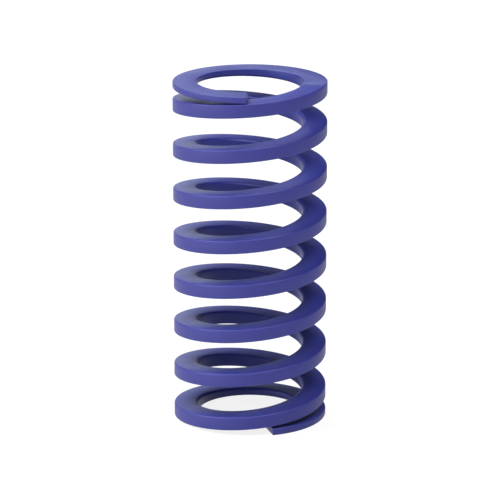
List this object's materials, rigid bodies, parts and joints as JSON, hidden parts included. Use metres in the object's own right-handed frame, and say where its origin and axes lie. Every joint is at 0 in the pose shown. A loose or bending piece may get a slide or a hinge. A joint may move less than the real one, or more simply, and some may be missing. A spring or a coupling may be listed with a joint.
{
  "type": "die spring",
  "caption": "Violet-blue painted die spring: flat rectangular wire coiled right-handed, with closed ends ground flat. It pushes two plates apart when it is squeezed.",
  "frame": {"origin": "on the coil's axis, in the plane of the lower ground end", "axes": "+Z along the coil's axis, from the lower ground end to the upper one; +X to the right and -Y towards the front, where the upper tip of the wire ends"},
  "size_m": [0.02, 0.02, 0.045],
  "materials": {
    "enamel": "satin violet-blue enamel over spring steel"
  },
  "bodies": {
    "root": {"die_spring": "enamel"}
  },
  "joints": []
}
